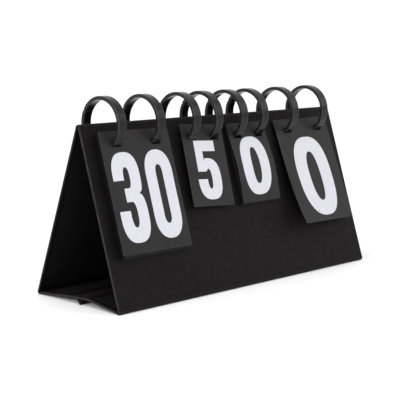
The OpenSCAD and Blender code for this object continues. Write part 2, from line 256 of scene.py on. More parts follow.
def lining_mat():
    m, nt, b = new_mat("lining_cloth")
    co = coords(nt, (1.0, 1.0, 1.0))
    wv = node(nt, "ShaderNodeTexWave", wave_type="BANDS", bands_direction="X", Scale=420.0, Distortion=1.2, Detail=1.0)
    nt.links.new(co, wv.inputs["Vector"])
    wz = node(nt, "ShaderNodeTexWave", wave_type="BANDS", bands_direction="Z", Scale=420.0, Distortion=1.2, Detail=1.0)
    nt.links.new(co, wz.inputs["Vector"])
    weave = math_n(nt, "MAXIMUM", wv.outputs["Fac"], wz.outputs["Fac"])
    broad = noise(nt, co, 30.0, 3.0)
    base = mix_rgb(nt, span(nt, broad, 0.3, 0.7, 0, 1), (0.0042, 0.0040, 0.0044), (0.0072, 0.0068, 0.0074))
    base = mix_rgb(nt, span(nt, weave, 0.2, 0.9, 0.45, 1.0), (0.002, 0.002, 0.0022), base)
    nt.links.new(base, b.inputs["Base Color"])
    nt.links.new(span(nt, weave, 0, 1, 0.95, 0.78), b.inputs["Roughness"])
    b.inputs["Specular IOR Level"].default_value = 0.12
    bump(nt, b, weave, 0.3, 0.00012)
    return m


def board_mat():
    m, nt, b = new_mat("greyboard")
    co = coords(nt)
    n1 = noise(nt, co, 160.0, 6.0, 0.7)
    n2 = noise(nt, coords(nt, (0.4, 3.0, 3.0)), 900.0, 4.0, 0.6)
    base = mix_rgb(nt, span(nt, n1, 0.3, 0.7, 0, 1), (0.16, 0.15, 0.135), (0.25, 0.235, 0.21))
    base = mix_rgb(nt, span(nt, n2, 0.55, 0.75, 0, 0.6), base, (0.09, 0.085, 0.08))
    nt.links.new(base, b.inputs["Base Color"])
    nt.links.new(span(nt, n2, 0, 1, 0.8, 0.95), b.inputs["Roughness"])
    bump(nt, b, n2, 0.4, 0.0002)
    return m


def card_mat(name, tone, rough0, rough1, spec):
    m, nt, b = new_mat(name)
    co = coords(nt)
    fine = noise(nt, co, 2600.0, 2.0, 0.5)
    mid = noise(nt, co, 60.0, 3.0, 0.5, 0.3)
    rub = noise(nt, coords(nt, (6.0, 1.0, 1.0)), 90.0, 5.0, 0.65)
    wear_and_highlight = nt.nodes.new("ShaderNodeAttribute")
    wear_and_highlight.attribute_name = "wear_and_highlight"
    lo = tuple(x * 0.86 for x in tone)
    hi = tuple(x * 1.14 for x in tone)
    base = mix_rgb(nt, span(nt, mid, 0.3, 0.7, 0, 1), lo, hi)
    # Lighter tone where the mesh attribute marks edges: painted highlight along the rims; the card meshes here carry no
    # such attribute.
    base = mix_rgb(nt, math_n(nt, "MULTIPLY", wear_and_highlight.outputs["Fac"], 0.7), base, tuple(x * 4.5 + 0.012 for x in tone))
    nt.links.new(base, b.inputs["Base Color"])
    rg = span(nt, rub, 0.3, 0.72, rough0, rough1)
    nt.links.new(rg, b.inputs["Roughness"])
    b.inputs["Specular IOR Level"].default_value = spec
    b0 = bump(nt, b, fine, 0.10, 0.00004)
    bump(nt, b, mid, 0.10, 0.0009, b0)
    return m


def ink_mat():
    m, nt, b = new_mat("white_ink")
    co = coords(nt)
    n1 = noise(nt, co, 240.0, 4.0, 0.6)
    n2 = noise(nt, co, 2200.0, 3.0, 0.6)
    base = mix_rgb(nt, span(nt, n1, 0.3, 0.7, 0, 1), (0.535, 0.535, 0.580), (0.580, 0.580, 0.627))
    base = mix_rgb(nt, span(nt, n2, 0.68, 0.8, 0, 0.35), base, (0.50, 0.50, 0.53))
    nt.links.new(base, b.inputs["Base Color"])
    nt.links.new(span(nt, n2, 0.2, 0.8, 0.42, 0.55), b.inputs["Roughness"])
    b.inputs["Specular IOR Level"].default_value = 0.35
    bump(nt, b, n2, 0.12, 0.00003)
    return m


def ring_mat():
    m, nt, b = new_mat("ring_plastic")
    co = coords(nt)
    n1 = noise(nt, co, 55.0, 3.0, 0.5)
    n2 = noise(nt, co, 900.0, 3.0, 0.55)
    rub = noise(nt, coords(nt, (5.0, 1.0, 1.0)), 260.0, 5.0, 0.7)
    wear_and_highlight = nt.nodes.new("ShaderNodeAttribute")
    wear_and_highlight.attribute_name = "wear_and_highlight"
    base = mix_rgb(nt, span(nt, n1, 0.3, 0.7, 0, 1), (0.0034, 0.0033, 0.0036), (0.0060, 0.0058, 0.0062))
    # Lighter tone on fillets, side faces and ends: painted highlight along the ring edges, patchy, with some rubbing.
    base = mix_rgb(nt, math_n(nt, "MULTIPLY", wear_and_highlight.outputs["Fac"], span(nt, rub, 0.35, 0.6, 0.2, 0.8)), base, (0.050, 0.046, 0.047))
    nt.links.new(base, b.inputs["Base Color"])
    nt.links.new(span(nt, rub, 0.35, 0.7, 0.17, 0.30), b.inputs["Roughness"])
    b.inputs["Specular IOR Level"].default_value = 0.20
    b0 = bump(nt, b, n2, 0.06, 0.00003)
    bump(nt, b, n1, 0.10, 0.0008, b0)
    return m


def hook_mat():
    m, nt, b = new_mat("strip_fabric")
    co = coords(nt)
    vor = node(nt, "ShaderNodeTexVoronoi", feature="F1", Scale=1500.0)
    nt.links.new(co, vor.inputs["Vector"])
    d = vor.outputs["Distance"]
    n1 = noise(nt, co, 60.0, 3.0)
    base = mix_rgb(nt, span(nt, d, 0.1, 0.6, 0, 1), (0.014, 0.013, 0.015), (0.004, 0.004, 0.0045))
    base = mix_rgb(nt, span(nt, n1, 0.35, 0.7, 0, 0.4), base, (0.02, 0.019, 0.021))
    nt.links.new(base, b.inputs["Base Color"])
    nt.links.new(span(nt, d, 0, 0.7, 0.6, 0.9), b.inputs["Roughness"])
    b.inputs["Specular IOR Level"].default_value = 0.2
    bump(nt, b, d, 0.8, 0.0003)
    return m


# The third colour is the lighter edge tone: painted highlight along the edges, with some rubbing.
M_COVER = leatherette("leatherette_cover", (0.0040, 0.0027, 0.0034), (0.0056, 0.0040, 0.0048),
                      (0.055, 0.050, 0.053), 0.10, 0.50, 0.64)
M_LINING = lining_mat()
M_BOARD = board_mat()
M_CARD = card_mat("card_film", (0.0155, 0.0142, 0.0144), 0.42, 0.54, 0.15)
# Film of the piled cards, darker than the front card's: painted shade between the cards.
M_PACK_SHADED = card_mat("card_film_stack_shaded", (0.0110, 0.0102, 0.0104), 0.42, 0.54, 0.14)
M_RIM = card_mat("card_cut_edge", (0.0950, 0.0900, 0.0920), 0.50, 0.66, 0.30)
# Near-black cut edges of the piled cards: painted shadow between the cards.
M_PILE_SHADOW = card_mat("pile_cut_edge_shadow", (0.0022, 0.0020, 0.0021), 0.60, 0.76, 0.06)
M_INK = ink_mat()
M_RING = ring_mat()
M_STRIP = hook_mat()


# ------------------------------------------------------------------ mesh tools
def build(name, verts, faces, mat, body, nodes, m=None, wear_and_highlight=None, sharp=38.0, rim=None):
    """A mesh piece from points in millimetres; m places them in the row frame."""
    pts = [Vector(v) for v in verts]
    if m is not None:
        pts = [m @ p for p in pts]
    me = bpy.data.meshes.new(name)
    me.from_pydata([tuple(p * MM) for p in pts], [], faces)
    bm = bmesh.new()
    bm.from_mesh(me)
    if wear_and_highlight is not None:
        lay = bm.verts.layers.float.new("wear_and_highlight")
        bm.verts.ensure_lookup_table()
        for v, w in zip(bm.verts, wear_and_highlight):
            v[lay] = w
    bmesh.ops.remove_doubles(bm, verts=bm.verts, dist=2e-7)
    bmesh.ops.recalc_face_normals(bm, faces=bm.faces)
    bm.to_mesh(me)
    bm.free()
    me.polygons.foreach_set("use_smooth", [True] * len(me.polygons))
    me.set_sharp_from_angle(angle=math.radians(sharp))
    me.materials.append(mat)
    if rim is not None:
        # narrow side faces of thin sheets take a second material
        rim_mat, axis = rim
        me.materials.append(rim_mat)
        for f in me.polygons:
            if abs(f.normal.dot(axis)) < 0.5:
                f.material_index = 1
    ob = bpy.data.objects.new(name, me)
    bpy.context.scene.collection.objects.link(ob)
    if nodes:
        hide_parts(*nodes)
    if body:
        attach(ob, body)
    return ob


def inside(p, loops):
    x, y = p
    hit = False
    for lp in loops:
        n = len(lp)
        j = n - 1
        for i in range(n):
            (xi, yi), (xj, yj) = lp[i], lp[j]
            if (yi > y) != (yj > y) and x < (xj - xi) * (y - yi) / (yj - yi) + xi:
                hit = not hit
            j = i
    return hit


def fill(loops, gx=None, gy=None):
    """Triangles that fill closed loops, holes by even-odd; gx and gy are extra grid lines to follow a bend."""
    pts, edges = [], []
    for lp in loops:
        s = len(pts)
        pts += [Vector((p[0], p[1])) for p in lp]
        edges += [(s + i, s + (i + 1) % len(lp)) for i in range(len(lp))]
    x0 = min(p.x for p in pts)
    x1 = max(p.x for p in pts)
    y0 = min(p.y for p in pts)
    y1 = max(p.y for p in pts)
    if gx:
        k = max(1, int(round((x1 - x0) / gx)))
        for i in range(1, k):
            x = x0 + (x1 - x0) * i / k + 0.0137
            s = len(pts)
            pts += [Vector((x, y0 - 1)), Vector((x, y1 + 1))]
            edges.append((s, s + 1))
    if gy:
        k = max(1, int(round((y1 - y0) / gy)))
        for i in range(1, k):
            y = y0 + (y1 - y0) * i / k + 0.0171
            s = len(pts)
            pts += [Vector((x0 - 1, y)), Vector((x1 + 1, y))]
            edges.append((s, s + 1))
    vo, _, fo, _, _, _ = geometry.delaunay_2d_cdt(pts, edges, [], 0, 1e-5)
    keep = []
    for f in fo:
        cx = sum(vo[i].x for i in f) / len(f)
        cy = sum(vo[i].y for i in f) / len(f)
        if inside((cx, cy), loops):
            keep.append(tuple(f))
    used = sorted({i for f in keep for i in f})
    at = {u: i for i, u in enumerate(used)}
    return [(vo[u].x, vo[u].y) for u in used], [tuple(at[i] for i in f) for f in keep]


def boundary(faces):
    seen = {}
    for f in faces:
        n = len(f)
        for i in range(n):
            a, b = f[i], f[(i + 1) % n]
            if (b, a) in seen:
                seen.pop((b, a))
            else:
                seen[(a, b)] = True
    return list(seen)


def sheet(loops, front, back, gx=None, gy=None):
    """A thin closed sheet: front and back map a flat point to the two faces."""
    p2, fs = fill(loops, gx, gy)
    n = len(p2)
    verts = [front(*p) for p in p2] + [back(*p) for p in p2]
    faces = [f for f in fs] + [tuple(i + n for i in reversed(f)) for f in fs]
    for a, b in boundary(fs):
        faces.append((b, a, a + n, b + n))
    return verts, faces, p2


def round_rect(x0, x1, y0, y1, r, k=4):
    out = []
    for cx, cy, a0 in ((x1 - r, y0 + r, -90), (x1 - r, y1 - r, 0), (x0 + r, y1 - r, 90), (x0 + r, y0 + r, 180)):
        for i in range(k + 1):
            a = math.radians(a0 + 90 * i / k)
            out.append((cx + r * math.cos(a), cy + r * math.sin(a)))
    return out


# ------------------------------------------------------------------ covers
# edge profile of a covered board: (inset from the side, depth w), inner face first
W_IN = 0.32


def edge_profile(r_in=0.7, r_out=1.15, w0=W_IN, w1=RO, k=5):
    p = [(r_in + 0.9, w0), (r_in + 0.3, w0)]
    for i in range(k + 1):
        a = math.radians(90 * i / k)
        p.append((r_in - r_in * math.sin(a), w0 + r_in - r_in * math.cos(a)))
    for i in range(k + 1):
        a = math.radians(90 * i / k)
        p.append((r_out - r_out * math.cos(a), w1 - r_out + r_out * math.sin(a)))
    p += [(r_out + 0.3, w1), (r_out + 0.9, w1)]
    return p


PROFILE = edge_profile()


def cover(name, m, v0, v1, slots, body, nodes, half, sign=1.0):
    """Covered board from v0 to v1 with rounded sides, open towards the folds, and soft-edged ring slots."""
    verts, faces, wear_and_highlight = [], [], []

    def at(x, v, w):
        return (x, -w, -v) if sign > 0 else (x, v, -w)

    # side edges
    st = [v0 + (v1 - v0) * i / 24 for i in range(25)]
    for side in (-1, 1):
        cols = []
        for v in st:
            col = []
            for ins, w in PROFILE:
                col.append(len(verts))
                verts.append(at(side * (half - ins), v, w))
                # Lighter edge tone along the rounded sides, stronger on the outer face: painted highlight with some
                # rubbing.
                wear_and_highlight.append(max(0.0, 1.0 - ins / 1.1) * (0.55 if w > 1.5 else 0.3))
            cols.append(col)
        for a, b in zip(cols, cols[1:]):
            for i in range(len(PROFILE) - 1):
                f = (a[i], a[i + 1], b[i + 1], b[i])
                faces.append(f if side > 0 else f[::-1])
        for col in (cols[0], cols[-1]):
            pass
    # slots, with a rounded lip on the outer face
    lip = [(0.9, RO), (0.55, RO), (0.38, RO - 0.03), (0.16, RO - 0.16), (0.03, RO - 0.38), (0.0, RO - 0.6),
           (0.0, W_IN + 0.3), (0.08, W_IN + 0.08), (0.3, W_IN), (0.7, W_IN)]
    outer_loops, inner_loops = [], []
    for x, s0, s1 in slots:
        rings = []
        for out, w in lip:
            loop = round_rect(x - SLOT_W / 2 - out, x + SLOT_W / 2 + out, s0 - out, s1 + out, 1.2 + out)
            ids = []
            for px, pv in loop:
                ids.append(len(verts))
                verts.append(at(px, pv, w))
                # Lighter tone on the rounded lip round each slot: painted highlight with some rubbing.
                wear_and_highlight.append(0.35 if 0.1 < out < 0.5 and w > 1.5 else 0.0)
            rings.append(ids)
            if (out, w) == lip[0]:
                outer_loops.append(loop)
            if (out, w) == lip[-1]:
                inner_loops.append(loop)
        for a, b in zip(rings, rings[1:]):
            n = len(a)
            for i in range(n):
                j = (i + 1) % n
                faces.append((a[i], a[j], b[j], b[i]))
    for w, loops in ((RO, outer_loops), (W_IN, inner_loops)):
        ins = PROFILE[-1][0] if w == RO else PROFILE[0][0]
        frame_loop = ([(-half + ins, v) for v in st] + [(half - ins, v) for v in reversed(st)])
        p2, fs = fill([frame_loop] + loops, 24.0, None)
        s = len(verts)
        verts += [at(x, v, w) for x, v in p2]
        wear_and_highlight += [0.0] * len(p2)
        faces += [tuple(i + s for i in (f if w == RO else reversed(f))) for f in fs]
    # end walls, where the fold strips join on
    for v in (v0, v1):
        s = len(verts)
        loop = [(half - ins, w) for ins, w in PROFILE] + [(-(half - ins), w) for ins, w in reversed(PROFILE)]
        verts += [at(x, v, w) for x, w in loop]
        wear_and_highlight += [0.0] * len(loop)
        f = tuple(range(s, s + len(loop)))
        faces.append(f if v == v1 else f[::-1])
    return build(name, verts, faces, M_COVER, body, nodes, m, wear_and_highlight)


def slot_list(s0, s1):
    return [(x, s0, s1) for x in RING_X]


cover("front_panel_skin", FRONT, 0.0, SLOPE, slot_list(20.1, 28.4), "front_panel",
      ("front_panel_cover",), HALF_L)
cover("rear_panel_skin", REAR, 0.0, SLOPE, slot_list(20.0, 28.5), "rear_panel",
      ("rear_panel_cover",), HALF_L)


def lining(name, m, v0, v1, slots, body, nodes, half, base=False):
    loops = [round_rect(-half + 6, half - 6, v0, v1, 2.0)]
    for x, s0, s1 in slots:
        loops.append(round_rect(x - SLOT_W / 2 - 0.9, x + SLOT_W / 2 + 0.9, s0 - 0.9, s1 + 0.9, 1.6))
    if base:
        f = lambda x, v: (x, v, -0.10)
        g = lambda x, v: (x, v, -(W_IN + 0.02))
    else:
        f = lambda x, v: (x, -0.10, -v)
        g = lambda x, v: (x, -(W_IN + 0.02), -v)
    verts, faces, _ = sheet(loops, f, g, 24.0, 24.0)
    return build(name, verts, faces, M_LINING, body, nodes, m)


lining("front_panel_liner", FRONT, 7.0, SLOPE - 6.0, slot_list(20.1, 28.4), "front_panel",
       ("front_panel_lining",), HALF_L)
lining("rear_panel_liner", REAR, 7.0, SLOPE - 6.0, slot_list(20.0, 28.5), "rear_panel",
       ("rear_panel_lining",), HALF_L)


def block(name, m, x, y0, y1, z0, z1, mat, body, nodes):
    """A plain board hidden between the skins, its long edges eased."""
    e = 0.15
    sec = [(y0 + e, z0), (y1 - e, z0), (y1, z0 + e), (y1, z1 - e), (y1 - e, z1), (y0 + e, z1), (y0, z1 - e), (y0, z0 + e)]
    verts = [(a, y, z) for a in (-x, x) for y, z in sec]
    k = len(sec)
    faces = [tuple(range(k)), tuple(reversed(range(k, 2 * k)))]
    faces += [(i, i + k, (i + 1) % k + k, (i + 1) % k) for i in range(k)]
    return build(name, verts, faces, mat, body, nodes, m)


block("front_base_core", BASE_FS, BASE_X - 0.6, 4.2, STIFF - 0.6, -2.4, -0.6, M_BOARD, "front_base", ("front_base_board",))
for n in ("front_panel_board", "rear_panel_board", "rear_base_board"):
    for s in frame["nodes"][n].material_slots:
        s.material = M_BOARD


def fold_strip(name, centre, a0, a1, r_fun, r_in, half, nodes, mirror=False, steps=28):
    """A leatherette strip bent round a hinge line."""
    prof = [(0.55, 0.0), (0.3, 0.0), (0.09, 0.12), (0.0, 0.34), (0.0, 0.66), (0.09, 0.88), (0.3, 1.0), (0.55, 1.0), (0.9, 1.0)]
    # at the outer side the strip keeps the rounded edge of the boards
    outer = [q for q in PROFILE if q[1] > 1.6]
    verts, faces, wear_and_highlight = [], [], []
    rows = []
    for i in range(steps + 1):
        a = a0 + (a1 - a0) * i / steps
        r = r_fun(a)
        row = []
        ring = ([(-(half - ins), r - RO + w) for ins, w in outer]
                + [(half - ins, r - RO + w) for ins, w in reversed(outer)]
                + [(half - outer[0][0], r_in), (-(half - outer[0][0]), r_in)])
        mids = []
        n_mid = 16
        left_end = ring[len(outer) - 1]
        right_start = ring[len(outer)]
        loop = ring[:len(outer)]
        for k in range(1, n_mid):
            t = k / n_mid
            loop.append((left_end[0] + (right_start[0] - left_end[0]) * t, left_end[1]))
        loop += ring[len(outer):]
        for x, rr in loop:
            row.append(len(verts))
            y, z = rr * math.cos(math.radians(a)), rr * math.sin(math.radians(a))
            if mirror:
                verts.append((x, -(centre[0] + y), centre[1] + z))
            else:
                verts.append((x, centre[0] + y, centre[1] + z))
            # Lighter edge tone along the sides and a little over the whole outer face: painted highlight with some
            # rubbing.
            wear_and_highlight.append(0.45 * max(0.0, 1.0 - (half - abs(x)) / 1.1) + (0.10 if rr > RO - 0.2 else 0.0))
        rows.append(row)
    n = len(rows[0])
    for a, b in zip(rows, rows[1:]):
        for i in range(n):
            j = (i + 1) % n
            faces.append((a[i], a[j], b[j], b[i]))
    faces.append(tuple(rows[0]))
    faces.append(tuple(reversed(rows[-1])))
    ob = build(name, verts, faces, M_COVER, None, nodes, None, wear_and_highlight, 50.0)
    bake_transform(ob)
    return ob


AD = math.degrees(ALPHA)
fold_strip("ridge_skin", (0.0, RIDGE_Z), AD, 180 - AD, lambda a: RO, RO - 1.3, HALF_L,
           ("ridge_spine",))
foot_r = lambda a: RO + 0.2 * math.sin(math.radians(max(0.0, min(180.0, (a - (180 - AD)) / (275.6 - 180 + AD) * 180)))) ** 2 \
    if a < 275.6 else RO
for nm, mir, pa, pb in (("front", False, "front_panel", "front_base"), ("rear", True, "rear_panel", "rear_base")):
    fold_strip(nm + "_foot_skin", (-FOOT_Y, FOOT_Z), 180 - AD, 275.6, foot_r, RO - 1.3, HALF_L,
               (nm + "_foot_fold",), mir, 26)


# ------------------------------------------------------------------ base halves
def base_half(side, m, body, sink):
    cover_ob = cover(side + "_base_skin", m, 0.0, STIFF, [], body, (side + "_base_cover",), BASE_X, -1.0)
    lining(side + "_base_liner", m, 8.0, STIFF - 3.0, [], body, (side + "_base_lining",), BASE_X, True)
    # soft end without board: two layers that close together towards the middle fold
    verts, faces, wear_and_highlight = [], [], []
    rows = []
    steps = 14
    for i in range(steps + 1):
        t = i / steps
        l = STIFF + (BASE_L - 0.2 - STIFF) * t
        thick = (RO - W_IN) * (1 - t) + 2.3 * t
        top = -W_IN - 0.15 * math.sin(math.pi * t) - (0.55 + sink) * t * t * (3 - 2 * t)
        mid = top - thick / 2
        row = []
        hx = BASE_X
        n_x = 24
        prof = []
        for k in range(9):
            a = math.radians(-90 + 180 * k / 8)
            prof.append((hx - min(1.1, thick / 2) + min(1.1, thick / 2) * math.cos(a), mid + thick / 2 * math.sin(a)))
        right = prof
        left = [(-x, z) for x, z in reversed(prof)]
        loop = list(right)
        for k in range(1, n_x):
            x = right[-1][0] + (left[0][0] - right[-1][0]) * k / n_x
            loop.append((x, top + 0.10 * math.sin(x * 0.11) * math.sin(math.pi * t)))
        loop += left
        for k in range(1, n_x):
            x = left[-1][0] + (right[0][0] - left[-1][0]) * k / n_x
            loop.append((x, top - thick))
        for x, z in loop:
            row.append(len(verts))
            verts.append((x, l, z))
            # Lighter edge tone along the sides, painted highlight with some rubbing, and lighter towards the middle
            # fold.
            wear_and_highlight.append(0.4 * max(0.0, 1.0 - (hx - abs(x)) / 1.1) + 0.25 * t * t)
        rows.append(row)
    n = len(rows[0])
    for a, b in zip(rows, rows[1:]):
        for i in range(n):
            j = (i + 1) % n
            faces.append((a[i], a[j], b[j], b[i]))
    faces.append(tuple(rows[0]))
    faces.append(tuple(reversed(rows[-1])))
    ob = build(side + "_base_fold", verts, faces, M_COVER, body, (side + "_base_edge",), m, wear_and_highlight, 50.0)
    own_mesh(ob)


base_half("front", BASE_FS, "front_base", 2.1)
base_half("rear", BASE_R, "rear_base", 0.0)


# closing lip: two strips pressed together under the middle fold
def lip_strip(name, y0, y1, mat, nodes, seed):
    rnd = random.Random(seed)
    mid_z = FOOT_Z + BASE_L * math.sin(RISE) - RO * math.cos(RISE)
    m = Matrix.Translation((0, 0, mid_z - 0.35)) @ Matrix.Rotation(math.radians(-41), 4, "X")
    verts, faces, wear_and_highlight = [], [], []
    n = 64
    rows = []
    for i in range(n + 1):
        x = -BASE_X + 2 * BASE_X * i / n
        dy = 0.10 * math.sin(x * 0.045 + seed) + rnd.uniform(-0.03, 0.03)
        zb = -6.4 + 0.12 * math.sin(x * 0.06 + 1.3 * seed)
        r = 0.16
        loop = [(y0 + r, -0.4), (y1 - r, -0.4), (y1, -0.4 - r), (y1, -2.6), (y1 + dy * 0.7, zb + r), (y1 - r + dy * 0.7, zb),
                (y0 + r + dy * 0.7, zb), (y0 + dy * 0.7, zb + r), (y0, -2.6), (y0, -0.4 - r)]
        row = []
        for y, z in loop:
            row.append(len(verts))
            verts.append((x, y, z))
            # Lighter tone along the bottom edge of the lip: painted highlight.
            wear_and_highlight.append(0.2 if z < -5.9 else 0.0)
        rows.append(row)
    k = len(rows[0])
    for a, b in zip(rows, rows[1:]):
        for i in range(k):
            j = (i + 1) % k
            faces.append((a[i], a[j], b[j], b[i]))
    faces.append(tuple(rows[0]))
    faces.append(tuple(reversed(rows[-1])))
    return build(name, verts, faces, mat, "base_lip", nodes, m, wear_and_highlight, 50.0)


lip_strip("lip_hook_tape", -0.62, -0.02, M_STRIP, ("lip_hook_strip",), 1)
lip_strip("lip_loop_tape", 0.02, 0.62, M_COVER, ("lip_loop_strip",), 2)


# ------------------------------------------------------------------ rings
def ring_section(r0, r1, f0, f1, k=4):
    """Rounded cross-section between radii r0 and r1: fillets f0 inside, f1 outside; (radius, x, weight of the lighter
    tone for painted highlight and rubbing).
    """
    h = RING_W / 2
    pts = []
    for cr, cx, f, a0 in ((r1 - f1, h - f1, f1, 0), (r0 + f0, h - f0, f0, 90), (r0 + f0, -h + f0, f0, 180), (r1 - f1, -h + f1, f1, 270)):
        for i in range(k + 1):
            a = math.radians(a0 + 90 * i / k)
            # Fillet points take the full lighter tone, their ends a little: painted highlight along the ring edges.
            pts.append((cr + f * math.cos(a), cx + f * math.sin(a), 1.0 if 0 < i < k else 0.45))
    out = []
    for i, p in enumerate(pts):
        out.append(p)
        q = pts[(i + 1) % len(pts)]
        if math.hypot(q[0] - p[0], q[1] - p[1]) > 1.0:
            # Points on the flat side faces take some of the lighter tone: painted highlight on the sides.
            side = 0.30 if abs(q[1] - p[1]) < 0.1 else 0.0
            for t in (0.12, 0.5, 0.88):
                out.append((p[0] + (q[0] - p[0]) * t, p[1] + (q[1] - p[1]) * t, side))
    return out


def ring_arc(verts, faces, wear_and_highlight, a0, a1, r0, r1, f0, f1, end=0.35, step=2.0, hinge=None):
    """Part of a ring with softly rounded ends, thinned outside next to the hinge line."""
    n = max(4, int((a1 - a0) / step))
    ang = [(a0, 0.75), (a0 + 0.25 * end, 0.9), (a0 + end, 1.0)]
    ang += [(a0 + end + (a1 - a0 - 2 * end) * i / n, 1.0) for i in range(1, n)]
    ang += [(a1 - end, 1.0), (a1 - 0.25 * end, 0.9), (a1, 0.75)]
    if hinge is not None:
        ang = sorted(ang + [(hinge + d, 1.0) for d in (-2.6, -1.3, 1.3, 2.6) if a0 + end < hinge + d < a1 - end])
    base = ring_section(r0, r1, f0, f1)
    rc = (r0 + r1) / 2
    rows = []
    for a, s in ang:
        row = []
        d = (1 - s) * 0.9
        cut = 0.0 if hinge is None else 0.8 * max(0.0, 1 - abs(a - hinge) / 2.6)
        for r, x, w in base:
            rr = r - math.copysign(min(abs(r - rc), d), r - rc) - (cut if r > rc else 0.0)
            xx = x - math.copysign(min(abs(x), d), x)
            t = math.radians(a)
            row.append(len(verts))
            verts.append((xx, rr * math.sin(t), -rr * math.cos(t)))
            # The rounded arc ends take most of the lighter tone: painted highlight with some rubbing.
            wear_and_highlight.append(w if s == 1.0 else 0.8)
        rows.append(row)
    k = len(base)
    for a, b in zip(rows, rows[1:]):
        for i in range(k):
            j = (i + 1) % k
            faces.append((a[i], a[j], b[j], b[i]))
    faces.append(tuple(rows[0]))
    faces.append(tuple(reversed(rows[-1])))


for k, x in enumerate(RING_X, 1):
    m = Matrix.Translation((x, RING_BACK, RIDGE_H - RING_DROP))
    rm = RING_RI + RING_T / 2
    v, f, w = [], [], []
    ring_arc(v, f, w, LAP - SEAM, HINGE, RING_RI, RING_RI + RING_T, 0.55, 0.75, hinge=HINGE)
    ring_arc(v, f, w, -SEAM, LAP - SEAM + 0.6, RING_RI, rm - 0.06, 0.55, 0.12, 0.2)
    build("ring_%d_arc" % k, v, f, M_RING, "ring_%d" % k, ("ring_%d_body" % k,), m, w, 42.0)
    v, f, w = [], [], []
    ring_arc(v, f, w, HINGE + 0.25, 360 - SEAM - 0.25, RING_RI, RING_RI + RING_T, 0.55, 0.75, hinge=HINGE)
    ring_arc(v, f, w, 359.0 - SEAM, 360 + LAP - SEAM - 0.25, rm + 0.06, RING_RI + RING_T, 0.12, 0.75, 0.2)
    build("ring_%d_latch" % k, v, f, M_RING, "gate_%d" % k, ("ring_%d_gate" % k,), m, w, 42.0)


# ------------------------------------------------------------------ cards
def card_loops(w, h, s, side=1, r=1.3):
    o = -side * CARD_OFF
    loops = [round_rect(o - w / 2, o + w / 2, EDGE - h, EDGE, r, 5)]
    for k in (-1, 1):
        loops.append(round_rect(k * s - SLOT_W / 2, k * s + SLOT_W / 2, -(SLOT_H if s < 20 else 5.7), 0.0, 0.9, 4))
    return loops


def card_sheet(x, w, h, s, bend=None, gx=None, gy=None, shift=(0.0, 0.0), t=CARD_T, side=1):
    """One card: bend(px, pz) gives how far it stands out at a point."""
    bend = bend or (lambda a, b: 0.0)
    dx, dz = shift
    verts, faces, p2 = sheet(card_loops(w, h, s, side),
                             lambda a, b: (x + a + dx, -t / 2 - bend(a, b), b + dz),
                             lambda a, b: (x + a + dx, t / 2 - bend(a, b), b + dz), gx, gy)
    return verts, faces


def card(name, x, w, h, s, m, body, nodes, bend=None, gx=None, gy=None, side=1):
    v, f = card_sheet(x, w, h, s, bend, gx, gy, side=side)
    return build(name, v, f, M_CARD, body, nodes, m, None, 40.0, (M_RIM, (m.to_3x3() @ Vector((0, 1, 0))).normalized()))


def pw(c, e):
    return math.copysign(abs(c) ** (2 / e), c)


def loop(a, b, e, cx=0.0, cy=0.0, n=88):
    out = []
    for i in range(n):
        t = (i + 0.5) * 2 * math.pi / n
        out.append((cx + a * pw(math.cos(t), e), cy + b * pw(math.sin(t), e)))
    return out


def bow(c, a, b, t0, t1, e=2.6, n=34):
    out = []
    for i in range(n + 1):
        t = math.radians(t0 + (t1 - t0) * i / n)
        out.append((c[0] + a * pw(math.cos(t), e), c[1] + b * pw(math.sin(t), e)))
    return out


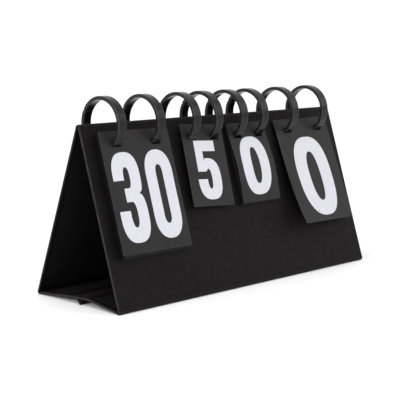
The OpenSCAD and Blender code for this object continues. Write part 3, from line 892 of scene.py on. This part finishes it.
def fig(d, w, h, v, s):
    """Outlines of a heavy condensed numeral standing on y = 0, centred on x = 0."""
    if d == 0:
        if h > 2 * w:
            st = (h - 1.32 * w) / 2
            out = []
            for a, b, e, k in ((w / 2, h / 2, 2.3, st), (w / 2 - v, h / 2 - s, 2.2, st * 1.04)):
                out.append([(x, y + math.copysign(k, y) + h / 2) for x, y in loop(a, b - k, e)])
            return out
        return [loop(w / 2, h / 2, 2.6, 0, h / 2), loop(w / 2 - v, h / 2 - s, 2.34, 0, h / 2)]
    if d == 1:
        x = -v * 0.35
        return [[(x + v, 0), (x + v, h), (x + v * 0.15, h), (x - v * 0.85, h - s * 1.25),
                 (x - v * 0.85, h - s * 2.25), (x, h - s * 1.75), (x, 0)]]
    if d == 3:
        k = w * 0.03
        lo, hi = h * 0.45, h * 0.60
        ct, cb = (-k / 2, h * 0.725), (0, h * 0.3)
        it, ib = (-k / 2, (h - s + hi) / 2), (0, (s + lo) / 2)
        return [[(-w / 2, h * 0.69)] + bow(ct, (w - k) / 2, h * 0.275, 176, -30) + [(w * 0.325, h * 0.536)]
                + bow(cb, w / 2, h * 0.3, 40, -176) + [(-w / 2, h * 0.355), (-w / 2 + v, h * 0.355)]
                + bow(ib, w / 2 - v, (lo - s) / 2, -172, 86, 2.4) + [(-w * 0.18, lo), (-w * 0.18, hi)]
                + bow(it, (w - k) / 2 - v, (h - s - hi) / 2, -86, 172, 2.4) + [(-w / 2 + v, h * 0.69)]]
    if d == 5:
        hb = h * 0.7
        c = (0, hb / 2)
        return [[(-w * 0.45, h), (w * 0.42, h), (w * 0.42, h - s), (v * 0.8 - w * 0.45, h - s),
                 (v * 0.8 - w * 0.45, h * 0.665)] + bow(c, w / 2, hb / 2, 96, -176)
                + [(-w / 2, h * 0.345), (v - w / 2, h * 0.345)]
                + bow(c, w / 2 - v, hb / 2 - s, -172, 128, 2.4) + [(v * 0.95 - w / 2, h * 0.475), (-w * 0.45, h * 0.475)]]
    if d == 2:
        hl = (h + s) / 2
        c = (0, h - hl / 2)
        return [[(-w / 2, h * 0.67)] + bow(c, w / 2, hl / 2, 176, 0) + [(w * 0.49, h * 0.62), (w * 0.45, h * 0.55),
                (-w / 2 + v * 1.15, s), (w / 2, s), (w / 2, 0), (-w / 2, 0), (-w / 2, s * 0.92), (w / 2 - v * 1.15, h * 0.545),
                (w / 2 - v * 1.02, h * 0.61)] + bow(c, w / 2 - v, hl / 2 - s, 0, 172, 2.4) + [(v - w / 2, h * 0.67)]]
    if d == 9:
        hl = h * 0.62
        c = (0, h - hl / 2)
        return [[(-w / 2, h * 0.29)] + bow((0, h * 0.3), w / 2, h * 0.3, -176, -2)
                + bow(c, w / 2, hl / 2, 0, 275) + [(w / 2 - v, h * 0.385)]
                + bow((0, h * 0.3), w / 2 - v, h * 0.3 - s, -4, -176, 2.4) + [(v - w / 2, h * 0.29)],
                loop(w / 2 - v, hl / 2 - s, 2.4, c[0], c[1])]
    x, y = w * 0.34, h * 0.2
    return [[(x, 0), (x, y), (w / 2, y), (w / 2, y + s), (x, y + s), (x, h), (x - v * 1.1, h),
             (-w / 2, y + s * 1.02), (-w / 2, y), (x - v, y), (x - v, 0)],
            [(x - v, y + s), (-w / 2 + v * 0.8, y + s), (x - v, h * 0.72)]]


SCORE_BASE = EDGE - SCORE_H + 10.3
SET_BASE = EDGE - SET_H + 6.8


def figures(score, n, side):
    """Outlines on a card, as (loops, where they start)."""
    if score and n > 9:
        return [(fig(d, 36.4, 89.2, 13.7, 14.9), (i - 0.5) * 43.5, SCORE_BASE) for i, d in enumerate((n // 10, n % 10))]
    o = -side * CARD_OFF
    if score:
        return [(fig(n, 59.3, 92.4, 20, 17.4), o, SCORE_BASE - 4)]
    if n == 0:
        return [(fig(n, 42.7, 63.8, 14.9, 11.9), o, SET_BASE)]
    return [(fig(n, 33.8, 62, 13.4, 11.2), o, SET_BASE)]


def ink(verts, faces, x, score, n, bend=None, gx=None, gy=None, reverse=False, m=None, t=CARD_T, shift=(0.0, 0.0), side=1):
    bend = bend or (lambda a, b: 0.0)
    for loops, ox, oz in figures(score, n, -side if reverse else side):
        lp = [[(a + ox + shift[0], b + oz + shift[1]) for a, b in q] for q in loops]
        if reverse:
            fr = lambda a, b: (x - a, t / 2 + INK - bend(-a, b), b)
            bk = lambda a, b: (x - a, t / 2 - bend(-a, b), b)
        else:
            fr = lambda a, b: (x + a, -t / 2 - INK - bend(a, b), b)
            bk = lambda a, b: (x + a, -t / 2 - bend(a, b), b)
        v, f, _ = sheet(lp, fr, bk, gx, gy)
        s = len(verts)
        verts += [(m @ Vector(q)) for q in v] if m is not None else v
        faces += [tuple(i + s for i in q) for q in f]


def print_piece(name, jobs, m, body, nodes):
    v, f = [], []
    for job in jobs:
        ink(v, f, **job)
    return build(name, v, f, M_INK, body, nodes, m, None, 40.0)


def pack(name, cards, body, nodes, mat=None):
    """A pile of cards: (placing matrix, sheet arguments) for each."""
    verts, faces = [], []
    for m, args in cards:
        v, f = card_sheet(**args)
        s = len(verts)
        verts += [m @ Vector(q) for q in v]
        faces += [tuple(i + s for i in q) for q in f]
    axis = (cards[0][0].to_3x3() @ Vector((0, 1, 0))).normalized()
    # Faces take the darker pile film and cut edges the near-black pile edge colour: painted shade between the cards.
    ob = build(name, verts, faces, mat or M_PACK_SHADED, body, nodes, None, None, 40.0, (M_PILE_SHADOW, axis))
    # now and then the cut edge of a card in the pile catches the light
    ob.data.materials.append(M_PACK_SHADED)
    here = rng.sample(range(len(cards)), max(1, len(cards) // 4))
    per = len(ob.data.vertices) // len(cards)
    for f in ob.data.polygons:
        if f.material_index == 1 and f.vertices[0] // per in here:
            f.material_index = 2
    return ob


def pack_n(i):
    return 0.26 + i * PITCH


rng = random.Random(7)
SCORE = dict(w=SCORE_W, h=SCORE_H, s=SCORE_S)
SET = dict(w=SET_W, h=SET_H, s=SET_S)

# left score cards, front: 30 on top
m30 = hang(pack_n(30) + 0.19, RING_BACK, 0, 0.6, 0.25, x=-SCORE_X)
card("left_score_face", -SCORE_X, SCORE_W, SCORE_H, SCORE_S, m30, "left_score", ("left_score_card",))
print_piece("left_score_ink", [dict(x=-SCORE_X, score=True, n=30), dict(x=-SCORE_X, score=True, n=29, reverse=True)],
            m30, "left_score", ("left_score_print",))
pack("left_score_pile", [(hang(pack_n(i), RING_BACK), dict(x=-SCORE_X, shift=(rng.uniform(-0.55, 0.35), rng.uniform(-0.15, 0.05)), **SCORE))
                         for i in range(30)], "front_panel", ("left_score_pack",))
print_piece("left_score_pile_ink", [dict(x=-SCORE_X, score=True, n=29)], hang(pack_n(29), RING_BACK), "front_panel",
            ("left_score_pack_print",))

# left set card, front: 5, a single card that leans a little on its rings
m5 = hang(6.8, RING_BACK, 0, 3.5, 0.9, x=-SET_X)
X5 = -SET_X + 0.8
card("left_set_face", X5, SET_W, SET_H, SET_S, m5, "left_set", ("left_set_card",))
print_piece("left_set_ink", [dict(x=X5, score=False, n=5)], m5, "left_set", ("left_set_print",))

# right set cards, front: 0 on a fanned pile of five
m0 = hang(4.95, RING_BACK)
b0 = lambda a, b: 2.9 * math.sin(math.pi * max(0.0, min(1.0, (EDGE - b - 14) / (SET_H - 14)))) ** 1.2
card("right_set_face", SET_X, SET_W, SET_H, SET_S, m0, "right_set", ("right_set_card",), b0, None, 4.0)
print_piece("right_set_ink", [dict(x=SET_X, score=False, n=0, bend=b0, gy=4.0),
                              dict(x=SET_X, score=False, n=1, bend=b0, gy=4.0, reverse=True)],
            m0, "right_set", ("right_set_print",))


def relax(m, x, joint, *names):
    """Gives each named object a mesh of its own."""
    for n in names:
        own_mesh(bpy.data.objects[n])


relax(m0, SET_X, "ring_5_turn", "right_set_face", "right_set_ink")


def set_bend(i):
    k = (0.0, -0.05, -0.1, -0.25, -0.5)[i]
    up = (0.0, 0.1, 0.25, 0.5, 0.8)[i]
    return lambda a, b: (k * math.sin(math.pi * max(0.0, min(1.0, (EDGE - b) / SET_H)))
                         + up * max(0.0, (EDGE - b - 45) / (SET_H - 45)) ** 2)


pack("right_set_pile", [(hang(0.35 + 0.85 * i, RING_BACK), dict(x=SET_X, bend=set_bend(i), gy=4.0,
                         shift=(rng.uniform(-0.5, 0.4), 0.0), **SET)) for i in range(5)],
     "front_panel", ("right_set_pack",), M_CARD)
print_piece("right_set_pile_ink", [dict(x=SET_X, score=False, n=1, bend=set_bend(4), gy=4.0)],
            hang(0.35 + 0.85 * 4, RING_BACK), "front_panel", ("right_set_pack_print",))

# right score card, front: a single 0 that curls away from the panel
m00 = hang(4.0, RING_BACK, 3.9, 0, 0.3)


def b00(a, b):
    t = max(0.0, min(1.0, (EDGE - b) / SCORE_H))
    u = a / SCORE_W
    return t ** 4 * (3.6 - 7.5 * u)


card("right_score_face", SCORE_X, SCORE_W, SCORE_H, SCORE_S, m00, "right_score", ("right_score_card",), b00, 9.0, 5.0)
print_piece("right_score_ink", [dict(x=SCORE_X, score=True, n=0, bend=b00, gx=9.0, gy=5.0)], m00, "right_score",
            ("right_score_print",))

relax(m00, SCORE_X, "ring_7_turn", "right_score_face", "right_score_ink")

# rear side: sets 0 to 5 with 5 on top, scores 30 down to 0
mb = hang(pack_n(4) + 0.19, -RING_BACK, 0, 0, RIDE, True)
card("left_set_back_face", SET_X, SET_W, SET_H, SET_S, mb, "left_set_back", ("left_set_back_card",), side=-1)
print_piece("left_set_back_ink", [dict(x=SET_X, score=False, n=5, side=-1), dict(x=SET_X, score=False, n=4, reverse=True, side=-1)],
            mb, "left_set_back", ("left_set_back_print",))
pack("left_set_back_pile", [(hang(pack_n(i), -RING_BACK, 0, 0, RIDE, True),
                             dict(x=SET_X, side=-1, shift=(rng.uniform(-0.35, 0.35), 0.0), **SET)) for i in range(4)],
     "rear_panel", ("left_set_back_pack",))
print_piece("left_set_back_pile_ink", [dict(x=SET_X, score=False, n=4, side=-1)], hang(pack_n(3), -RING_BACK, 0, 0, RIDE, True),
            "rear_panel", ("left_set_back_pack_print",))
mb = hang(pack_n(29) + 0.19, -RING_BACK, 0, 0, RIDE, True)
card("right_score_back_face", -SCORE_X, SCORE_W, SCORE_H, SCORE_S, mb, "right_score_back", ("right_score_back_card",), side=-1)
print_piece("right_score_back_ink", [dict(x=-SCORE_X, score=True, n=0, side=-1), dict(x=-SCORE_X, score=True, n=1, reverse=True, side=-1)],
            mb, "right_score_back", ("right_score_back_print",))
pack("right_score_back_pile", [(hang(pack_n(i), -RING_BACK, 0, 0, RIDE, True),
                                dict(x=-SCORE_X, side=-1, shift=(rng.uniform(-0.35, 0.35), 0.0), **SCORE)) for i in range(29)],
     "rear_panel", ("right_score_back_pack",))
print_piece("right_score_back_pile_ink", [dict(x=-SCORE_X, score=True, n=1, side=-1)],
            hang(pack_n(28), -RING_BACK, 0, 0, RIDE, True), "rear_panel", ("right_score_back_pack_print",))


# ------------------------------------------------------------------ stage
def stage_floor():
    me = bpy.data.meshes.new("floor")
    s = 9.0
    me.from_pydata([(-s, -s, 0), (s, -s, 0), (s, s, 0), (-s, s, 0)], [], [(0, 1, 2, 3)])
    m, nt, b = new_mat("pale_floor")
    co = coords(nt)
    n = noise(nt, co, 3.0, 2.0)
    nt.links.new(mix_rgb(nt, n, (0.95, 0.95, 0.95), (0.97, 0.97, 0.97)), b.inputs["Base Color"])
    b.inputs["Roughness"].default_value = 0.9
    b.inputs["Specular IOR Level"].default_value = 0.0
    me.materials.append(m)
    ob = bpy.data.objects.new("floor", me)
    bpy.context.scene.collection.objects.link(ob)


stage_floor()

scene = bpy.context.scene
world = bpy.data.worlds.new("studio") if scene.world is None else scene.world
scene.world = world
world.use_nodes = True
wt = world.node_tree
for n in list(wt.nodes):
    wt.nodes.remove(n)
wo = wt.nodes.new("ShaderNodeOutputWorld")
wb = wt.nodes.new("ShaderNodeBackground")
wb.inputs[0].default_value = (1.0, 1.0, 1.0, 1)
wb.inputs[1].default_value = 1.08
wt.links.new(wb.outputs[0], wo.inputs[0])


def area(name, loc, target, size, power, size_y=None):
    li = bpy.data.lights.new(name, "AREA")
    li.energy = power
    li.size = size
    if size_y:
        li.shape = "RECTANGLE"
        li.size_y = size_y
    ob = bpy.data.objects.new(name, li)
    ob.location = loc
    d = Vector(target) - Vector(loc)
    ob.rotation_euler = d.to_track_quat("-Z", "Y").to_euler()
    scene.collection.objects.link(ob)
    return ob


area("key", (-0.9, -1.6, 1.7), (0, 0, 0.08), 0.9, 8.0)
area("fill", (1.5, -1.1, 0.9), (0, 0, 0.08), 0.9, 3.0)
area("side", (-1.9, -0.25, 0.75), (-0.1, 0, 0.1), 0.6, 16.0)

cam = bpy.data.cameras.new("camera")
cam.lens = 108.77
cam.sensor_width = 36.0
yaw, pitch, roll = math.radians(46.748), math.radians(8.933), math.radians(0.987)
fwd = Vector((math.sin(yaw) * math.cos(pitch), math.cos(yaw) * math.cos(pitch), -math.sin(pitch)))
right = fwd.cross(Vector((0, 0, 1))).normalized()
up = right.cross(fwd)
r2 = math.cos(roll) * right + math.sin(roll) * up
u2 = -math.sin(roll) * right + math.cos(roll) * up
co = bpy.data.objects.new("camera", cam)
rot = Matrix((r2, u2, -fwd)).transposed()
co.matrix_world = Matrix.Translation((-0.9428, -0.8672, 0.28405)) @ rot.to_4x4()
cam.clip_start = 0.01
cam.clip_end = 60.0
scene.collection.objects.link(co)
scene.camera = co
scene.view_settings.view_transform = "Standard"
scene.view_settings.look = "None"
